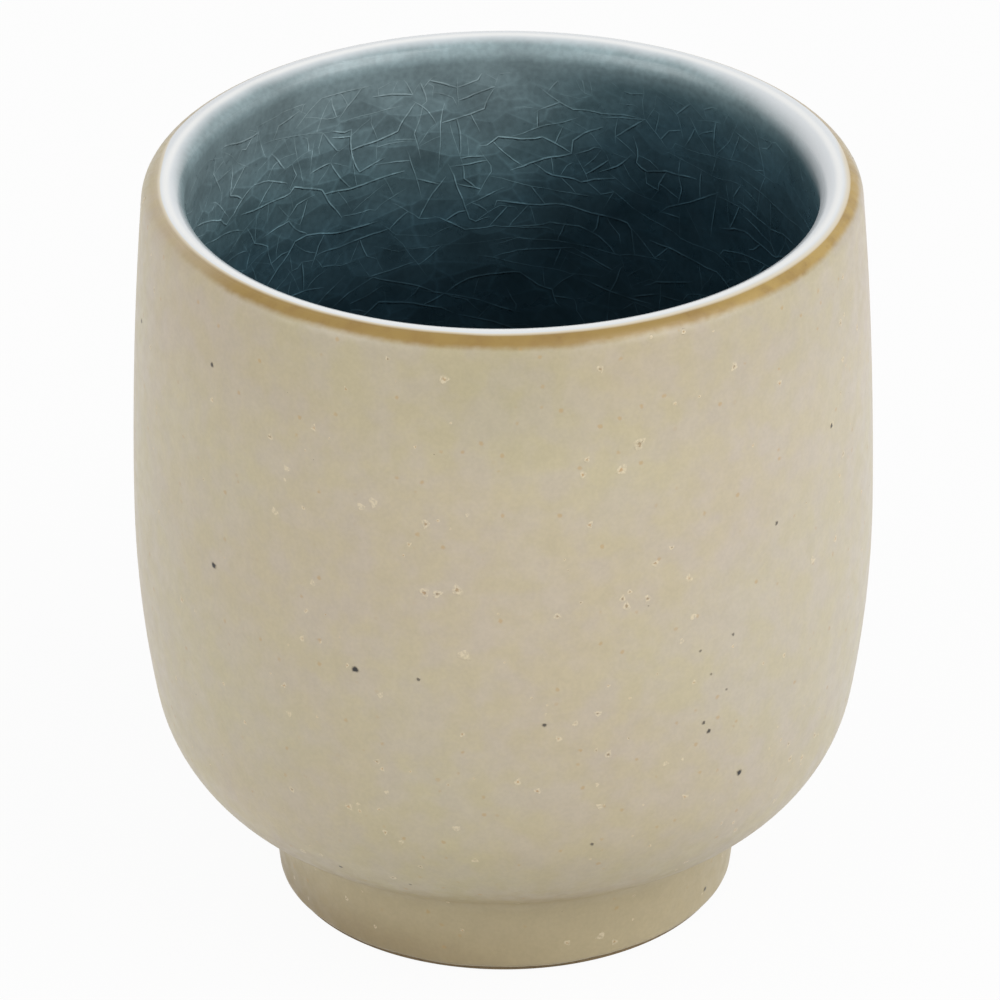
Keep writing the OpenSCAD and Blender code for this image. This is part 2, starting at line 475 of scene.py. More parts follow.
def wheel_tree():
    """Turns a closed outline of loose points about Z, with a slight wander from round."""
    tree = Tree("Turn on the wheel", Segments='Int', Wander='Float', Wander_Size='Float', Sway='Float',
                Material='Material')
    outline = tree.given('Geometry')
    segments = tree.given('Segments')
    rows = tree.add('GeometryNodeAttributeDomainSize', {'Geometry': outline}, out='Point Count',
                    component='MESH')
    grid = tree.add('GeometryNodeMeshGrid', {'Vertices X': segments + 1, 'Vertices Y': rows + 1})
    index = tree.add('GeometryNodeInputIndex')
    column = (index / (rows + 1)).math('FLOOR')
    row = (index - column * (rows + 1)).math('MODULO', rows)

    def sampled(value, data_type):
        return tree.add('GeometryNodeSampleIndex', {'Geometry': outline, 'Value': value, 'Index': row},
                        data_type=data_type, domain='POINT')

    radius = tree.part(sampled(tree.add('GeometryNodeInputPosition'), 'FLOAT_VECTOR'), 'X')
    height = radius.other('Z')
    turn = column / segments * FULL_TURN
    east = turn.math('COSINE')
    north = turn.math('SINE')
    round_place = tree.join(radius * east, radius * north, height)
    stray = tree.add('ShaderNodeTexNoise', {'Vector': round_place, 'Detail': 1.0,
                                            'Scale': 1.0 / tree.given('Wander_Size')})
    # Near the axis the wander dies away, so that the poles stay closed
    weight = (radius / tree.given('Wander_Size') * 3.0).math('MINIMUM', 1.0)
    strayed = radius + (stray - 0.5) * 2.0 * tree.given('Wander') * weight
    wave = tree.add('ShaderNodeTexNoise', {'Vector': tree.join(east, north, 0.0), 'Scale': 3.0,
                                           'Detail': 3.0})
    swayed = height + (wave - 0.5) * 2.0 * tree.given('Sway') * sampled(tree.stored("sway"), 'FLOAT')
    position = tree.join(strayed * east, strayed * north, swayed)
    marked = tree.store(grid, "run", sampled(tree.stored("run"), 'FLOAT'))
    turned = tree.add('GeometryNodeSetPosition', {'Geometry': marked, 'Position': position})
    closed = tree.add('GeometryNodeMergeByDistance', {'Geometry': turned, 'Distance': 2 * SAME_POINT})
    return tree.finish(closed)


def outline_mesh(points):
    """Loose points of an outline, each given as radius, height, run and sway."""
    radii, heights, runs, sways = zip(*points)
    return marked_mesh("outline", [(r, 0.0, z) for r, z in zip(radii, heights)], run=runs, sway=sways)


def throw(name, points, material):
    """A piece turned on the wheel from its outline."""
    shape = bpy.context.scene.cup_shape
    piece = plain_mesh(name, outline_mesh(points), wheel_tree(), Segments=shape.segments, Wander=shape.wander,
                       Wander_Size=shape.wander_size, Sway=shape.wipe_sway, Material=material)
    turn_outwards(piece.data)
    piece.data.shade_smooth()
    piece.data.set_sharp_from_angle(angle=SHARP_EDGE)
    return piece


def arc(centre, radius, start, end, spacing):
    """Points of an arc, its ends included, no further apart than the spacing."""
    steps = max(2, math.ceil(abs(end - start) * radius / spacing))
    turns = [start + (end - start) * i / steps for i in range(steps + 1)]
    return [centre + radius * Vector((math.cos(a), math.sin(a))) for a in turns]


def chain(*stretches):
    """Stretches of points one after another, without doubles where they meet."""
    points = []
    for point in (p for stretch in stretches for p in stretch):
        if not points or (point - points[-1]).length > SAME_POINT:
            points.append(point)
    return points


def runs_along(points, start, sign):
    """Run at each point of a line, in millimetres, from its run at the first one."""
    runs = [start]
    for before, after in zip(points, points[1:]):
        runs.append(runs[-1] + sign * (after - before).length / MM)
    return runs


class Profile:
    """The lines that the cup's pieces are drawn from. A depth is measured in from the glazed outside."""

    # Spacing of points on the wall, the lip, small edges and the clay behind, and the bead's height
    WALL_STEP = 0.0009
    LIP_STEP = 0.00007
    EDGE_STEP = 0.00012
    BACK_STEP = 0.0016
    BEAD = 0.0004

    def __init__(self, shape):
        self.shape = shape
        half = shape.widest_d / 2
        gap = shape.flank_arc - shape.belly_arc
        self.belly_c = Vector((half - shape.flank_arc + gap * math.cos(shape.flank_sweep),
                               shape.foot_h + shape.belly_arc))
        wide_z = self.belly_c.y + gap * math.sin(shape.flank_sweep)
        self.flank_c = Vector((half - shape.flank_arc, wide_z))
        self.wall_c = Vector((half - shape.wall_arc, wide_z))
        self.clay_in = shape.wall_t - shape.coat_t
        self.glazed_lip = self.lip(0.0, shape.wall_t, shape.cup_h)
        self.clay_lip = self.lip(shape.coat_t, self.clay_in, shape.cup_h - shape.coat_t)
        self.foot_up = Vector((math.sin(shape.foot_lean), math.cos(shape.foot_lean)))
        self.foot_out = Vector((math.cos(shape.foot_lean), -math.sin(shape.foot_lean)))
        self.hollow_r = shape.foot_d / 2 - shape.foot_wall_t
        self.pool_z = shape.foot_h + shape.wall_t + shape.pool_t

    def lip(self, outer, inner, top):
        """Centre, radius and lean of the half round that closes a wall between two depths."""
        radius = (inner - outer) / 2
        middle = self.shape.wall_arc - (outer + inner) / 2
        lean = math.asin((top - radius - self.wall_c.y) / middle)
        return self.wall_c + middle * Vector((math.cos(lean), math.sin(lean))), radius, lean

    def wall(self, depth, start, end, spacing):
        return arc(self.wall_c, self.shape.wall_arc - depth, start, end, spacing)

    def wall_angle(self, depth, height):
        return math.asin((height - self.wall_c.y) / (self.shape.wall_arc - depth))

    def flank(self, depth, spacing):
        return arc(self.flank_c, self.shape.flank_arc - depth, 0.0, -self.shape.flank_sweep, spacing)

    def belly(self, depth, end, spacing):
        return arc(self.belly_c, self.shape.belly_arc - depth, -self.shape.flank_sweep, end, spacing)

    def under_z(self, radius, depth):
        """Height of the bowl's underside at a radius."""
        if radius <= self.belly_c.x:
            return self.shape.foot_h + depth
        reach = self.shape.belly_arc - depth
        return self.belly_c.y - math.sqrt(reach ** 2 - (radius - self.belly_c.x) ** 2)

    def foot_side(self, depth, height):
        """Point of the foot's outer wall at a depth in from its glaze."""
        start = Vector((self.shape.foot_d / 2, 0.0)) - depth * self.foot_out
        return start + self.foot_up * (height - start.y) / self.foot_up.y

    def foot_meets(self, depth, reach):
        """Where the foot's wall at a depth, going up, meets a circle round the belly's centre."""
        start = self.foot_side(depth, 0.0)
        away = start - self.belly_c
        along = self.foot_up.dot(away)
        return start + self.foot_up * (-along - math.sqrt(along ** 2 - away.length_squared + reach ** 2))

    def belly_angle(self, point):
        return math.atan2(point.y - self.belly_c.y, point.x - self.belly_c.x)

    def lip_arc(self, a_lip, start, end, spacing):
        return arc(a_lip[0], a_lip[1], start, end, spacing)

    def lip_line(self, a_lip, depth, lip_step, wall_step):
        """From the toasted band over the lip and down to the lower edge of the pale glaze."""
        lean = a_lip[2]
        return chain(self.lip_arc(a_lip, self.shape.band_high, QUARTER_TURN, lip_step),
                     self.lip_arc(a_lip, QUARTER_TURN, math.pi + lean, lip_step),
                     self.wall(depth, lean, self.wall_angle(depth, self.shape.lip_edge_z), wall_step))

    def lining_front(self):
        """The glossy inside from the pale glaze's edge to the axis, softened where the pool begins."""
        shape = self.shape
        depth = shape.wall_t
        reach = shape.belly_arc - depth
        pool_r = self.belly_c.x + math.sqrt(reach ** 2 - (self.belly_c.y - self.pool_z) ** 2)
        pool_angle = self.belly_angle(Vector((pool_r, self.pool_z)))
        shore = 0.0014
        belly = self.belly(depth, pool_angle + shore / reach, self.WALL_STEP)
        corner = Vector((pool_r, self.pool_z))
        end = Vector((pool_r - shore, self.pool_z))
        steps = 7
        shares = [i / steps for i in range(steps + 1)]
        meniscus = [belly[-1] * (1 - t) ** 2 + corner * 2 * t * (1 - t) + end * t ** 2 for t in shares]
        floor_steps = 16
        floor = [end * (1 - i / floor_steps) + Vector((0.0, self.pool_z)) * (i / floor_steps)
                 for i in range(floor_steps + 1)]
        top = self.wall_angle(depth, shape.lip_edge_z)
        return chain(self.wall(depth, top, 0.0, self.WALL_STEP), self.flank(depth, self.WALL_STEP), belly,
                     meniscus, floor)

    def lining_back(self):
        """The clay that the lining lies on, from the same edge to the axis."""
        top = self.wall_angle(self.clay_in, self.shape.lip_edge_z)
        return chain(self.wall(self.clay_in, top, 0.0, self.BACK_STEP),
                     self.flank(self.clay_in, self.BACK_STEP),
                     self.belly(self.clay_in, -QUARTER_TURN, self.BACK_STEP),
                     [Vector((0.0, self.shape.foot_h + self.clay_in))])

    def outer_front(self):
        """The cream outside from the toasted band down to the rounded bead of the wiped edge."""
        shape = self.shape
        lean = self.glazed_lip[2]
        cove = self.foot_meets(-shape.foot_cove, shape.belly_arc + shape.foot_cove)
        touch = self.belly_angle(cove)
        return chain(self.lip_arc(self.glazed_lip, shape.band_low, lean, self.LIP_STEP * 2),
                     self.wall(0.0, lean, 0.0, self.WALL_STEP),
                     self.flank(0.0, self.WALL_STEP),
                     self.belly(0.0, touch, self.WALL_STEP * 0.7),
                     arc(cove, shape.foot_cove, touch + math.pi, math.pi - shape.foot_lean, self.EDGE_STEP),
                     self.foot_stretch(),
                     self.bead())

    def foot_stretch(self):
        """The foot's glazed side, from its corner with the bowl down to the bead."""
        shape = self.shape
        low = shape.foot_bare + self.BEAD
        high = self.foot_meets(-shape.foot_cove, shape.belly_arc + shape.foot_cove).y
        steps = 14
        return [self.foot_side(0.0, high + (low - high) * i / steps) for i in range(1, steps + 1)]

    def bead(self):
        """Rounded end of the glaze on the foot's side, from its face in to the clay."""
        shape = self.shape
        steps = 6
        turns = [QUARTER_TURN * i / steps for i in range(steps + 1)]
        return [self.foot_side(shape.coat_t * (1 - math.cos(a)),
                               shape.foot_bare + self.BEAD * (1 - math.sin(a))) for a in turns]

    def outer_back(self):
        """The clay that the cream lies on, from the toasted band down to the wiped edge."""
        shape = self.shape
        lean = self.clay_lip[2]
        corner = self.foot_meets(shape.coat_t, shape.belly_arc - shape.coat_t)
        return chain(self.lip_arc(self.clay_lip, shape.band_low, lean, self.LIP_STEP * 2),
                     self.wall(shape.coat_t, lean, 0.0, self.BACK_STEP),
                     self.flank(shape.coat_t, self.BACK_STEP),
                     self.belly(shape.coat_t, self.belly_angle(corner), self.BACK_STEP),
                     [self.foot_side(shape.coat_t, shape.foot_bare)])

    def sway_at(self, point):
        """How much a point takes part in the sway of the wiped edge."""
        fade = 0.0016
        return max(0.0, 1.0 - max(0.0, point.y - self.shape.foot_bare) / fade)

    def film(self, front, back, start, sign):
        """Closed outline of a coat between its face and the clay, as radius, height, run and sway."""
        runs = runs_along(front, start, sign)
        share = (runs[-1] - start) / max(1, len(back) - 1)
        back_runs = [start + share * i for i in range(len(back))]
        outline = list(zip(front, runs)) + list(zip(reversed(back), reversed(back_runs)))
        if (front[-1] - back[-1]).length < SAME_POINT:
            del outline[len(front)]
        return [(p.x, p.y, run, self.sway_at(p)) for p, run in outline]

    def band_high_run(self):
        """Run at the sharp upper edge of the toasted band."""
        return self.glazed_lip[1] * (QUARTER_TURN - self.shape.band_high) / MM

    def band_low_run(self):
        """Run at the lower edge of the rim band's own piece."""
        return self.glazed_lip[1] * (QUARTER_TURN - self.shape.band_low) / MM

    def lip_front(self):
        return self.lip_line(self.glazed_lip, self.shape.wall_t, self.LIP_STEP, self.LIP_STEP * 3)

    def lining_run(self):
        """Run at the lower edge of the pale glaze, inside."""
        return runs_along(self.lip_front(), self.band_high_run(), -1)[-1]


def cup_profile():
    return Profile(bpy.context.scene.cup_shape)


def cream_paint(board, place):
    """Cream satin glaze: slow clouds, fine mottling, straw freckles, warmer and darker by the foot, partly
    painted shade.
    """
    glaze = bpy.context.scene.cup_glaze
    height = board.part(place, 'Z')
    side = height.other('X') / (bpy.context.scene.cup_shape.foot_d / 2)
    edge = side.math('ABSOLUTE')
    clouds = board.ramp(board.noise(place, 0.022, 3.0), 0.36, 0.64)
    base = board.mix(clouds, glaze.cream, glaze.rose)
    mottle = board.noise(place, 0.0016, 4.0)
    grain = board.noise(place, 0.00035, 1.0)
    tone = board.ramp(mottle, 0.25, 0.75, 0.97, 1.025) * board.ramp(grain, 0.2, 0.8, 0.97, 1.03)
    patches = board.ramp(board.noise(place, 0.0026, 3.0), 0.32, 0.68, 0.935, 1.065)
    high = board.ramp(height, 0.050, 0.062)
    tints = [
        # Fine mottling, then small patches that lean to yellow or to rose
        (board.grey(tone), 1.0),
        (board.add('ShaderNodeCombineColor', (1.0, 1.0, patches)), 1.0),
        # The right side is less yellow than the rest, and the low belly is lighter at both sides, painted
        # light bounced up from the floor
        ((1.01, 1.02, 1.085), board.ramp(side, 0.55, 1.10)),
        ((1.11, 1.11, 1.13), board.ramp(edge, 0.80, 1.20) * board.ramp(height, 0.021, 0.013)),
        # Lower down it turns yellower and darker at the front and right, partly thicker glaze and partly
        # painted shade where the belly turns under, then darker in the corner, partly pooled glaze and partly
        # painted shade in the crease
        ((0.945, 0.945, 0.86), board.ramp(height, 0.026, 0.012) * board.ramp(side, -1.1, -0.2, 0.25, 1.0)),
        ((0.78, 0.71, 0.56), board.ramp(height, 0.0145, 0.0085)),
        # High up it is a little darker, most at the front, painted shade against the light from above, and
        # darker still just under the toasted band, painted shade that offsets the light on the lip's upturned
        # curve
        (srgb(248, 247, 245), high),
        (srgb(247, 248, 244), high * board.ramp(edge, 0.50, 0.0)),
        ((0.89, 0.89, 0.88), board.ramp(height, 0.0632, 0.0641) * board.ramp(side, -1.45, -0.90, 0.1, 1.0)),
    ]
    for shade, share in tints:
        base = board.tint(base, shade, share)
    # The foot takes its own yellower cream, darkened towards its lower left as painted shade
    foot_painted_shade = board.ramp(height, 0.0060, 0.0010) * board.ramp(side, -0.75, 0.65, 1.0, 0.05)
    foot = board.tint(board.mix(foot_painted_shade, glaze.shade, glaze.painted_shade_foot_cream), board.grey(tone))
    base = board.mix(board.ramp(height, 0.0085, 0.0068), base, foot)
    cells = board.add('ShaderNodeTexVoronoi', {'Vector': place, 'Scale': FRECKLE_CELLS}, out='Distance')
    chosen = board.add('ShaderNodeSeparateColor', (cells.other('Color'),), out='Red')
    freckle = board.ramp(cells + (grain - 0.5) * 0.16, 0.17, 0.05) * board.ramp(chosen, 0.45, 0.75)
    return board.mix(freckle * 0.5, base, glaze.straw)


def compass(board, place):
    """How far east and north a place lies, as shares of the cup's widest radius."""
    reach = bpy.context.scene.cup_shape.widest_d / 2
    east = board.part(place, 'X')
    return east / reach, east.other('Y') / reach


def side_strength(board, place):
    """How strongly the kiln toasted each side of the lip: most at the front and right, least at the left."""
    east, north = compass(board, place)
    patches = board.noise(board.squeeze(place, 1.0, 1.0, 0.2), 0.011, 2.0)
    front = board.ramp(east + (patches - 0.5) * 0.3, -0.97, -0.63, 0.14, 1.0)
    return front * board.ramp(north, -0.10, 0.30, 1.0, 0.2)


def toast_paint(board, place, run, under):
    """Toasted band: ochre with umber patches, sharp above, fading into the glaze under it."""
    glaze = bpy.context.scene.cup_glaze
    flow = board.noise(board.squeeze(place, 1.0, 1.0, 0.3), 0.0065, 3.0)
    fine = board.noise(place, 0.0006, 2.0)
    strength = side_strength(board, place)
    east, _ = compass(board, place)
    middle = board.ramp(east.math('ABSOLUTE'), 0.50, 0.10, 0.0, 0.20)
    edge = 1.56 + middle + (flow - 0.5) * 0.55 + (fine - 0.5) * 0.26 + (strength - 1.0) * 0.35
    faded = board.ramp(run - edge, 0.42, -0.26)
    patch = board.ramp(board.noise(place, 0.0021, 3.0), 0.42, 0.72) * 0.55
    patch = patch + board.ramp(fine, 0.55, 0.8) * 0.35
    toast = board.mix(patch, board.mix(board.ramp(east, 0.35, 0.80), glaze.ochre, glaze.gold), glaze.umber)
    return board.mix(faded * strength, under, toast)


def coat_paint(board, place, run):
    """Colour of the outside, from the toasted band down."""
    return toast_paint(board, place, run, cream_paint(board, place))


def plate_tone(board, place, east, below):
    """Small plates between hairline cracks, drawn out sideways, each lighter towards its lower edge as
    painted shading of a raised plate.
    """
    wide = board.squeeze(place, 0.62, 0.62, 1.0)
    cells = {'Vector': wide, 'Scale': PLATE_CELLS}
    hairs = board.add('ShaderNodeTexVoronoi', cells, out='Distance', feature='DISTANCE_TO_EDGE')
    plate = board.add('ShaderNodeTexVoronoi', cells, out='Position')
    above = board.add('ShaderNodeVectorMath', (wide, plate), operation='SUBTRACT')
    rise = board.part(above, 'Z')
    own = board.add('ShaderNodeSeparateColor', (plate.other('Color'),), out='Red')
    # Each plate lighter towards its lower edge and darker towards its upper one: painted shading that makes
    # it look raised
    lean = board.ramp(rise, -0.0011, 0.0011, 0.12, -0.12) + board.ramp(own, 0.0, 1.0, -0.06, 0.06)
    line = board.ramp(hairs, 0.07, 0.0) * board.ramp(board.noise(place, 0.003), 0.35, 0.60, 0.05, 0.30)
    return 1.0 + (lean + line) * board.ramp(east, -0.1, 0.6, 1.0, 0.55) * board.ramp(below, 3.0, 8.0)


def lining_paint(board, place, run):
    """Colour of the inside: pale over the lip, then blue-grey that deepens towards the floor."""
    glaze = bpy.context.scene.cup_glaze
    east, north = compass(board, place)
    drips = board.noise(board.squeeze(place, 1.0, 1.0, 0.22), 0.0045, 3.0)
    below = -run
    # The dark part climbs higher on the right, painted shade on the inner wall that faces away from the
    # light, and a little higher at the lower left, painted shade too
    painted_shade_depth = board.ramp(east, -0.07, 0.48, 0.0, 10.8) * board.ramp(below, 1.5, 5.0)
    painted_shade_depth = painted_shade_depth + board.ramp(east, -0.50, -0.80, 0.0, 1.6) * board.ramp(below, 8.0, 14.0)
    depth = below + painted_shade_depth + (drips - 0.5) * 2.2
    # Darker with depth, partly the glaze's own colour and partly painted shade deep in the hollow
    deepest = 40.0
    stops = [(0.0, glaze.mist), (3.0 / deepest, glaze.mist), (9.0 / deepest, glaze.slate),
             (13.0 / deepest, glaze.steel), (18.0 / deepest, glaze.petrol), (25.0 / deepest, glaze.ink),
             (1.0, glaze.ink)]
    wall = board.add('ShaderNodeValToRGB', (depth / deepest,), stops=stops)
    pools = board.noise(place, 0.0042, 3.0)
    specks = board.noise(place, 0.0005, 2.0)
    tone = board.ramp(pools, 0.25, 0.75, 0.84, 1.14) * board.ramp(specks, 0.25, 0.75, 0.90, 1.10)
    # The plates' painted relief shading, then painted shade that makes the left a little darker
    tone = tone * plate_tone(board, place, east, below) * board.ramp(east, -0.25, -0.80, 1.0, 0.87)
    wall = board.tint(wall, board.grey(tone))
    # The pale glaze ends soonest at the back and fades a little more gently at the left; at the right it
    # fades far down the wall, a painted reflection of a bright lamp in the glossy lining
    start = board.ramp(north, -0.30, 0.60, 0.95, 0.20) - board.ramp(east, -0.45, -0.85, 0.0, 0.30)
    start = start + board.ramp(east, 0.65, 0.90, 0.0, 0.60)
    spread = 1.35 + board.ramp(east, 0.45, 0.92, 0.0, 2.3) + board.ramp(east, -0.55, -0.90, 0.0, 0.25)
    lip_fade_and_reflection = board.ramp(below + (drips - 0.5) * 0.5, start, start + spread)
    # A whiter line along the top of the lip, a painted highlight
    lip = board.mix(board.ramp((run + 0.25).math('ABSOLUTE'), 0.50, 0.05), glaze.pale, glaze.crest)
    return board.mix(lip_fade_and_reflection, lip, wall)


def skin_height(board, place):
    """Faint unevenness of a fired glaze."""
    return board.noise(place, 0.0030, 2.0) * 0.8 + board.noise(place, 0.0007, 2.0) * 0.2


def cream_material():
    board = Shader("cream_glaze")
    place = board.place()
    base = coat_paint(board, place, board.attribute("run"))
    roughness = board.ramp(board.noise(place, 0.0012, 2.0), 0.3, 0.7, 0.40, 0.52)
    sheen = board.ramp(board.part(place, 'Z'), 0.009, 0.022, 0.0, 0.35)
    return board.finish(base, roughness, skin_height(board, place), 0.10, 0.0004, coat_weight=sheen,
                        coat_roughness=0.35)


def toasted_material():
    board = Shader("toasted_glaze")
    place = board.place()
    base = coat_paint(board, place, board.attribute("run"))
    roughness = board.ramp(board.noise(place, 0.0008, 2.0), 0.3, 0.7, 0.30, 0.46)
    return board.finish(base, roughness, skin_height(board, place), 0.12, 0.0003)


def pale_material():
    """White over the lip, then a warm white that runs into the toasted band, wider at the right."""
    board = Shader("pale_glaze")
    place = board.place()
    run = board.attribute("run")
    east, north = compass(board, place)
    wave = (board.noise(place, 0.0045, 2.0) - 0.5) * 0.12
    past = run + wave - board.ramp(east, -0.55, 0.10, 0.40, 0.57) - board.ramp(north, 0.05, 0.35, 0.0, 0.55)
    past = past - board.ramp(east, 0.60, 0.90, 0.0, 0.12)
    warm = board.ramp(past, board.ramp(east, -0.2, 0.8, -0.28, -0.62), -0.12)
    base = board.mix(warm, lining_paint(board, place, run), bpy.context.scene.cup_glaze.milk)
    base = board.mix(board.ramp(past, -0.18, 0.16), base, coat_paint(board, place, run))
    roughness = board.ramp(-run, 0.6, 2.4, 0.13, 0.32)
    return board.finish(base, roughness, skin_height(board, place), 0.06, 0.0003)


def lining_roughness(board, place):
    """Gloss of the lining, which the cracks in it share."""
    return board.ramp(board.noise(place, 0.002, 2.0), 0.3, 0.7, 0.26, 0.38)


def crackle_material():
    board = Shader("crackle_glaze")
    place = board.place()
    base = lining_paint(board, place, board.attribute("run"))
    return board.finish(base, lining_roughness(board, place), skin_height(board, place), 0.12, 0.0004)


def crack_material():
    """Healed cracks: the lining's own colour with a soft pale line, a painted highlight, and a dark one below
    it, painted shade, as a raised ridge would show them.
    """
    board = Shader("crack_lines")
    place = board.place()
    across = board.attribute("across")
    run = board.attribute("run")
    # Thin cracks are fainter, all of them fade lower down, and each is broken here and there
    broken = board.ramp(board.noise(place, 0.0016, 2.0), 0.36, 0.56, 0.45, 1.0)
    strength = board.ramp(board.attribute("girth"), 0.40, 1.0, 0.40, 1.0) * broken
    strength = strength * board.ramp(-run, 14.0, 34.0, 1.0, 0.65) * board.ramp(-run, 4.0, 12.0, 0.40, 1.0)
    base = lining_paint(board, place, run)
    # The pale line is a painted highlight and the dark one painted shade, standing in for the ridge's relief
    pale = board.mix(0.035, board.tint(base, (3.3, 3.1, 3.0)), srgb(172, 196, 202))
    dark = board.tint(base, (0.30, 0.33, 0.36))
    painted_light_line = board.ramp((across - 0.25).math('ABSOLUTE'), 0.70, 0.0) * strength * 0.9
    painted_shade_line = board.ramp((across + 0.45).math('ABSOLUTE'), 0.55, 0.10) * strength
    base = board.mix(painted_shade_line * 0.90, board.mix(painted_light_line, base, pale), dark)
    # The ridges are so low that they shine as the lining round them does
    facing = board.add('ShaderNodeAttribute', out='Vector', attribute_name="facing")
    return board.finish(base, lining_roughness(board, place), normal=facing)


def clay_material(name):
    """Bare stoneware: toasted sand colour with dark grains and a dry, open surface."""
    glaze = bpy.context.scene.cup_glaze
    board = Shader(name)
    place = board.place()
    clouds = board.noise(place, 0.006, 3.0)
    grains = board.noise(place, 0.0004, 2.0)
    base = board.tint(glaze.clay, board.grey(board.ramp(clouds, 0.3, 0.7, 0.86, 1.10)))
    base = board.mix(board.ramp(grains, 0.60, 0.72) * 0.7, base, glaze.grog)
    return board.finish(base, 0.86, grains, 0.5, 0.0002)


def ragged_edge(board, place, amount):
    """How far out a point lies on its mark, from 0 in the middle to 1, with a ragged outline."""
    return board.attribute("edge") + (board.noise(place, 0.00013, 2.0) - 0.5) * amount


def pit_material():
    """A pinhole: a soft ragged pale spot in the cream, some with a straw or brown core."""
    glaze = bpy.context.scene.cup_glaze
    board = Shader("glaze_pit")
    place = board.place()
    edge = ragged_edge(board, place, 0.9)
    cream = cream_paint(board, place)
    bits = board.ramp(board.noise(place, 0.00022, 2.0), 0.42, 0.58, 0.25, 1.0)
    base = board.mix(board.ramp(edge, 1.0, 0.55) * bits * 0.68, cream, srgb(228, 213, 182))
    kind = board.noise(place, 0.004, 1.0)
    core = board.mix(board.ramp(kind, 0.45, 0.60), glaze.rust, srgb(126, 98, 60))
    cored = board.ramp(edge, 0.42, 0.10) * board.ramp(kind, 0.34, 0.46)
    return board.finish(board.mix(cored * 0.62, base, core), 0.42)


def iron_material():
    """An iron speck: near black in the middle, bleeding grey into the cream, fainter where it is small."""
    glaze = bpy.context.scene.cup_glaze
    board = Shader("iron_speck")
    place = board.place()
    edge = ragged_edge(board, place, 0.35)
    cream = cream_paint(board, place)
    strength = board.ramp(board.attribute("size"), 0.00010, 0.00038, 0.30, 1.0)
    halo = board.mix(board.ramp(edge, 1.0, 0.50) * strength * 0.6, cream, srgb(122, 113, 96))
    return board.finish(board.mix(board.ramp(edge, 0.68, 0.36) * strength, halo, glaze.iron), 0.40)


def mark_mesh(name, rings, ragged, seed):
    """A small closed mark: a disc of rings, each given as radius and height, on a sunk base."""
    sides = MARK_SIDES
    rng = random.Random(seed)
    pull = [1.0 + rng.uniform(-ragged, ragged) for _ in range(sides)]
    points = [(0.0, 0.0, rings[0][1])]
    edges = [0.0]
    for radius, height in rings[1:]:
        for i in range(sides):
            turn = FULL_TURN * i / sides
            points.append((radius * pull[i] * math.cos(turn), radius * pull[i] * math.sin(turn), height))
            edges.append(radius)
    faces = [(0, 1 + i, 1 + (i + 1) % sides) for i in range(sides)]
    for ring in range(len(rings) - 2):
        inner = 1 + ring * sides
        outer = inner + sides
        faces += [(inner + i, outer + i, outer + (i + 1) % sides, inner + (i + 1) % sides)
                  for i in range(sides)]
    last = 1 + (len(rings) - 2) * sides
    faces.append(tuple(last + i for i in reversed(range(sides))))
    mesh = marked_mesh(name, points, faces=faces, edge=edges)
    mesh.shade_smooth()
    return put_in_scene(name, mesh)


def stamp_marks(tree, points, facing, size):
    """Sets the mark of a tree on points, facing outwards, each spun at random."""
    spin = tree.chance(0.0, FULL_TURN, tree.given('Seed') + 1)
    flat = tree.add('FunctionNodeEulerToRotation', (tree.join(0.0, 0.0, spin),))
    upright = tree.add('FunctionNodeAlignRotationToVector', {'Vector': facing}, axis='Z')
    rotation = tree.add('FunctionNodeRotateRotation', (upright, flat), rotation_space='LOCAL')
    stamp = tree.add('GeometryNodeObjectInfo', {'Object': tree.given('Mark')}, out='Geometry')
    return tree.add('GeometryNodeInstanceOnPoints', {'Points': tree.store(points, "size", size),
                                                     'Instance': stamp, 'Rotation': rotation,
                                                     'Scale': tree.join(size, size, size)})


def strew_tree():
    """Strews a mark over the outward faces of a coat."""
    tree = Tree("Strew marks", Mark='Object', Density='Float', Smallest='Float', Largest='Float', Seed='Int',
                Material='Material')
    normal = tree.add('GeometryNodeInputNormal')
    place = tree.add('GeometryNodeInputPosition')
    away = tree.add('ShaderNodeVectorMath', (tree.squeeze(place, 1.0, 1.0, 0.0),), operation='NORMALIZE')
    outward = tree.add('ShaderNodeVectorMath', (normal, away), out='Value', operation='DOT_PRODUCT')
    above_bead = tree.part(place, 'Z').math('GREATER_THAN', BEAD_TOP)
    clusters = tree.ramp(tree.noise(place, 0.007), 0.40, 0.65, 0.35, 2.0) * above_bead
    spread = tree.add('GeometryNodeDistributePointsOnFaces',
                      {'Mesh': tree.given('Geometry'), 'Selection': outward.math('GREATER_THAN', 0.3),
                       'Density': tree.given('Density') * clusters, 'Seed': tree.given('Seed')}, out='Points',
                      distribute_method='RANDOM')
    chance = tree.chance(0.0, 1.0, tree.given('Seed') + 2)
    smallest = tree.given('Smallest')
    size = smallest + (tree.given('Largest') - smallest) * chance * chance
    return tree.finish(stamp_marks(tree, spread, spread.other('Normal'), size))


def seat_on_coat(tree, geometry):
    """Moves the points of a geometry on to the nearest face of the tree's coat."""
    coat = tree.add('GeometryNodeObjectInfo', {'Object': tree.given('Coat')}, out='Geometry')
    nearest = tree.add('GeometryNodeProximity', {'Geometry': coat}, target_element='FACES')
    return tree.add('GeometryNodeSetPosition', {'Geometry': geometry, 'Position': nearest})


def set_tree():
    """Sets a mark on given points, each with its own facing and size."""
    tree = Tree("Set marks", Coat='Object', Mark='Object', Seed='Int', Material='Material')
    seated = seat_on_coat(tree, tree.given('Geometry'))
    points = tree.add('GeometryNodeMeshToPoints', {'Mesh': seated}, mode='VERTICES')
    return tree.finish(stamp_marks(tree, points, tree.stored("facing", 'FLOAT_VECTOR'), tree.stored("size")))


